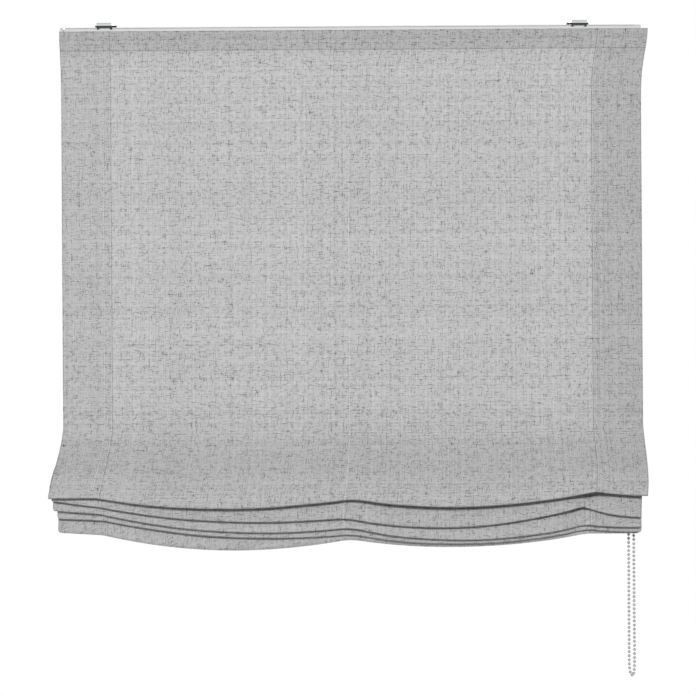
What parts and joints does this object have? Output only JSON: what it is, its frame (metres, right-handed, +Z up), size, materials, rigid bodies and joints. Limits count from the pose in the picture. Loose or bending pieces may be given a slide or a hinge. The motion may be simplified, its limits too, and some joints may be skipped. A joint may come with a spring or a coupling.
{
  "type": "roman blind",
  "caption": "Grey linen-look roman blind drawn up into soft swagged folds under a white aluminium headrail with steel ceiling clips and a bead chain drive at the right.",
  "frame": {"origin": "on the ceiling plane, midway between the screw holes of the two clips", "axes": "+X along the headrail towards the chain drive, +Y towards the window, so the front of the cloth faces -Y, +Z up"},
  "size_m": [0.8684, 0.1144, 0.9672],
  "materials": {
    "cloth": "coarse slubby plain weave, matte",
    "tape": "thin woven tape",
    "fastener": "hook and loop",
    "cord": "braided cord",
    "rail": "satin white powder coat",
    "clip_steel": "zinc plated spring steel",
    "latch_steel": "blackened spring steel",
    "steel": "plain drawn steel",
    "cap_plastic": "white",
    "drive_plastic": "pale grey",
    "white_plastic": "white moulded",
    "bead_plastic": "milky white"
  },
  "bodies": {
    "blind": {"headrail": "rail", "hook_tape": "fastener", "loop_tape": "fastener", "bracket_left": "clip_steel", "bracket_right": "clip_steel", "clip_latch_left": "latch_steel", "clip_latch_right": "latch_steel", "end_cap_left": "cap_plastic", "drive_housing": "drive_plastic", "brake_spindle": "steel", "cloth": "cloth", "chain_beads": "bead_plastic", "chain_cord": "cord", "drum_cradle_left": "white_plastic", "lift_cord_left": "cord", "cord_stop_left": "white_plastic", "rings_left": "bead_plastic", "lift_tape_left": "tape", "drum_cradle_centre": "white_plastic", "lift_cord_centre": "cord", "cord_stop_centre": "white_plastic", "rings_centre": "bead_plastic", "lift_tape_centre": "tape", "drum_cradle_right": "white_plastic", "lift_cord_right": "cord", "cord_stop_right": "white_plastic", "rings_right": "bead_plastic", "lift_tape_right": "tape"},
    "drive_shaft": {"drive_sprocket": "white_plastic", "brake_springs": "steel", "output_coupling": "white_plastic", "drive_axle": "steel", "axle_journal": "white_plastic", "cord_drum_left": "white_plastic", "cord_drum_centre": "white_plastic", "cord_drum_right": "white_plastic", "cord_coil_left": "cord", "cord_coil_centre": "cord", "cord_coil_right": "cord"}
  },
  "joints": [
    {"name": "drive_turn", "type": "hinge", "parent": "blind", "child": "drive_shaft", "pos_m": [0, 0, -0.0205], "axis": [1, 0, 0], "range_deg": [-3040, 4310], "deforming": ["chain_beads", "chain_cord"]}
  ]
}
